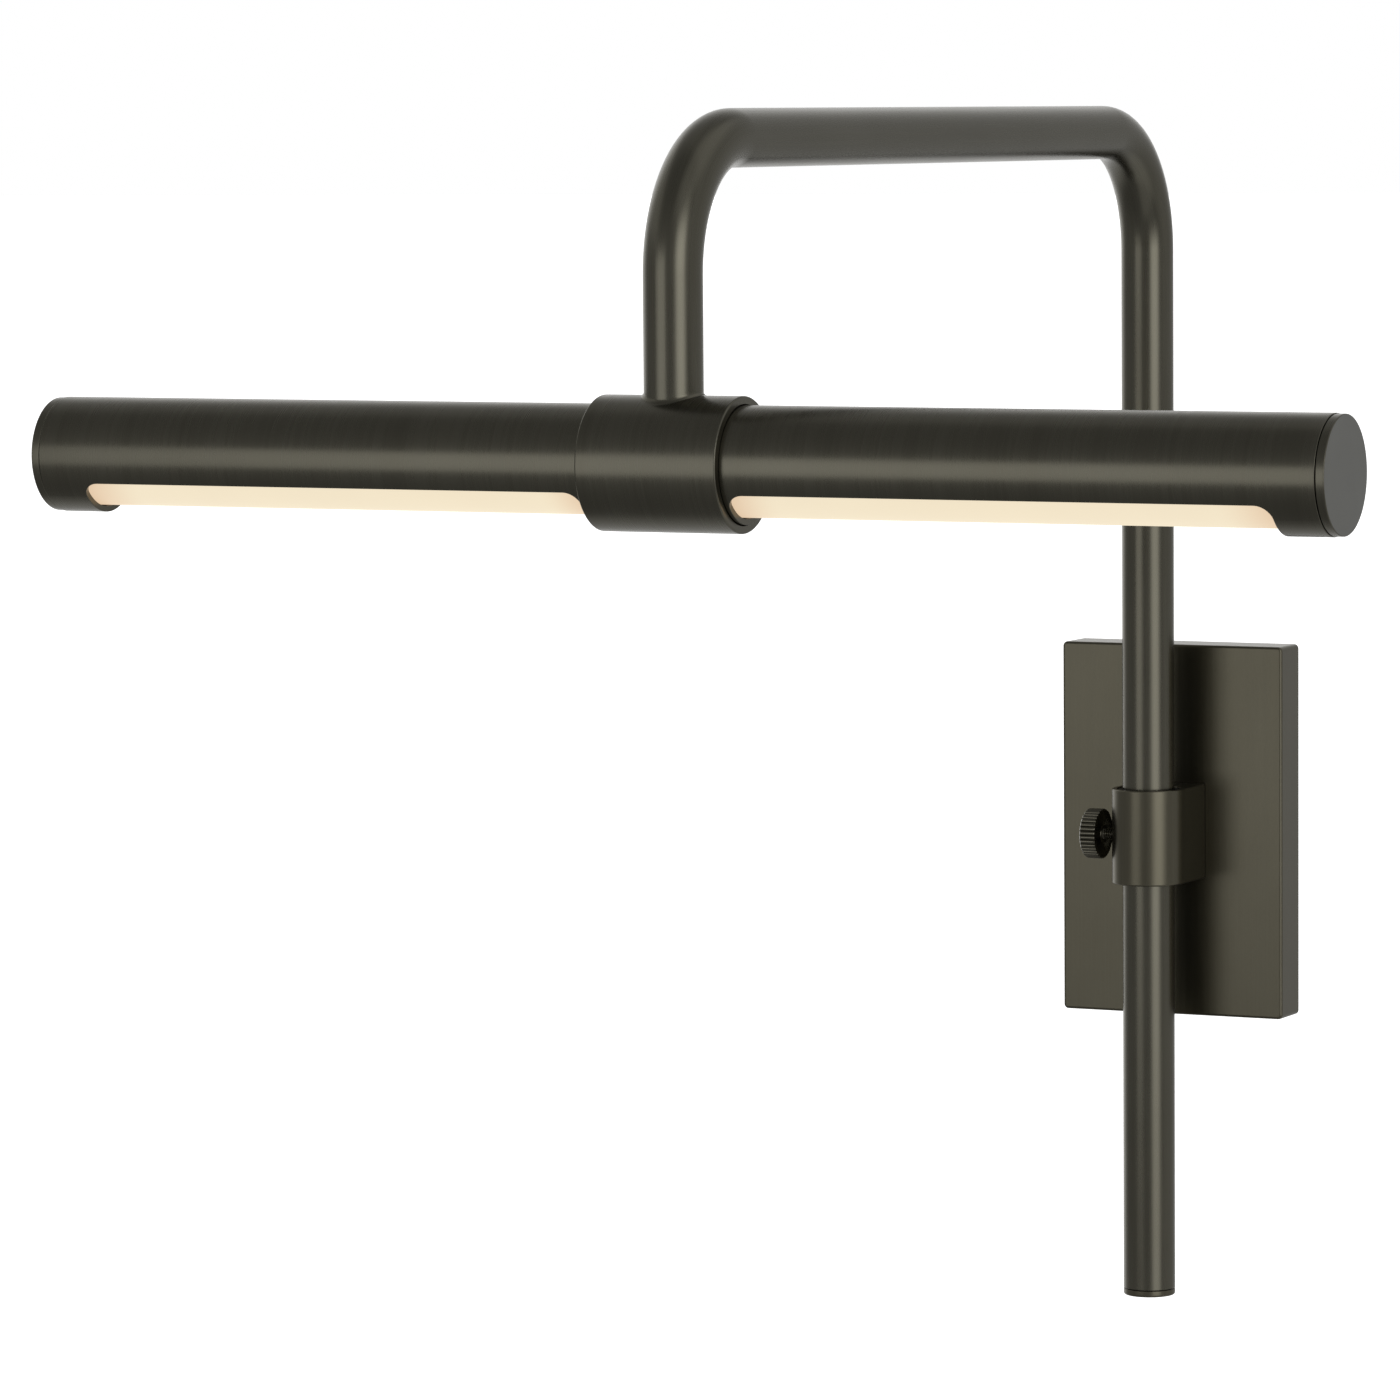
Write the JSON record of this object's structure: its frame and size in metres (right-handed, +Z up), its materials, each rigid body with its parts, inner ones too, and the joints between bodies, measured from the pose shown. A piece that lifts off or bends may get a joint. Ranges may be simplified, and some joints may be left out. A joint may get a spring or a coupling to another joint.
{
  "type": "picture light",
  "caption": "Wall picture light: a horizontal LED light tube on a bent stem that slides in a collar on a wall plate, with a thumb screw to clamp it.",
  "frame": {"origin": "on the wall plane, at the centre of the wall plate and its mounting strap", "axes": "+X along the light tube, to the viewer's right; +Y into the wall; +Z up. The arm reaches forward along -Y"},
  "size_m": [0.39, 0.3943, 0.3793],
  "materials": {
    "bronze_steel": "satin brushed dark bronze plating",
    "bronze_aluminium": "satin brushed dark bronze anodising",
    "diffuser": "opal, lit warm white",
    "aluminium": "extruded",
    "steel": "zinc plated",
    "earth_screw": "green",
    "brass": "turned",
    "black_nylon": "moulded",
    "black_rubber": "matte",
    "white_plastic": "moulded",
    "led_board": "white coated board"
  },
  "bodies": {
    "wall_mount": {"backplate": "bronze_steel", "mounting_bracket": "steel", "grub_screw_left": "steel", "grub_screw_right": "steel", "ground_screw": "earth_screw", "led_driver": "white_plastic", "terminal_block": "white_plastic", "fixing_nipple": "brass", "lock_washer": "steel", "hex_nut": "brass", "locating_pin": "steel", "driver_lead": "black_rubber", "collar": "bronze_aluminium"},
    "swivel_liner": {"collar_liner": "black_nylon"},
    "stem": {"stem_tube": "bronze_steel", "stem_end_plug": "bronze_aluminium", "stem_lead": "black_rubber", "head_sleeve": "bronze_steel", "friction_ring_left": "black_rubber", "friction_ring_right": "black_rubber", "guide_nipple": "brass"},
    "light_head": {"light_tube": "bronze_aluminium", "end_cap_left": "bronze_aluminium", "end_cap_right": "bronze_aluminium", "diffuser_left": "diffuser", "diffuser_right": "diffuser", "led_carrier": "aluminium", "led_board_left": "led_board", "led_board_right": "led_board", "head_lead": "black_rubber"},
    "clamp_pad": {"pressure_pad": "black_nylon"},
    "thumb_screw": {"thumb_screw": "bronze_steel"}
  },
  "joints": [
    {"name": "stem_swivel", "type": "hinge", "parent": "wall_mount", "child": "swivel_liner", "pos_m": [0, -0.0345, 0], "axis": [0, 0, 1], "range_deg": [-15, 15]},
    {"name": "stem_slide", "type": "slide", "parent": "swivel_liner", "child": "stem", "axis": [0, 0, 1], "range_m": [-0.035, 0.035]},
    {"name": "head_tilt", "type": "hinge", "parent": "stem", "child": "light_head", "pos_m": [0, -0.3755, 0.135], "axis": [1, 0, 0], "range_deg": [-45, 45]},
    {"name": "pad_slide", "type": "slide", "parent": "wall_mount", "child": "clamp_pad", "axis": [-1, 0, 0], "range_m": [0, 0.0012]},
    {"name": "thumb_screw_turn", "type": "hinge", "parent": "clamp_pad", "child": "thumb_screw", "pos_m": [0, -0.0345, 0], "axis": [-1, 0, 0], "range_deg": [0, 540]}
  ],
  "couplings": [
    {"joint": "thumb_screw_turn", "follows": "pad_slide", "rad_per_m": 7854}
  ]
}
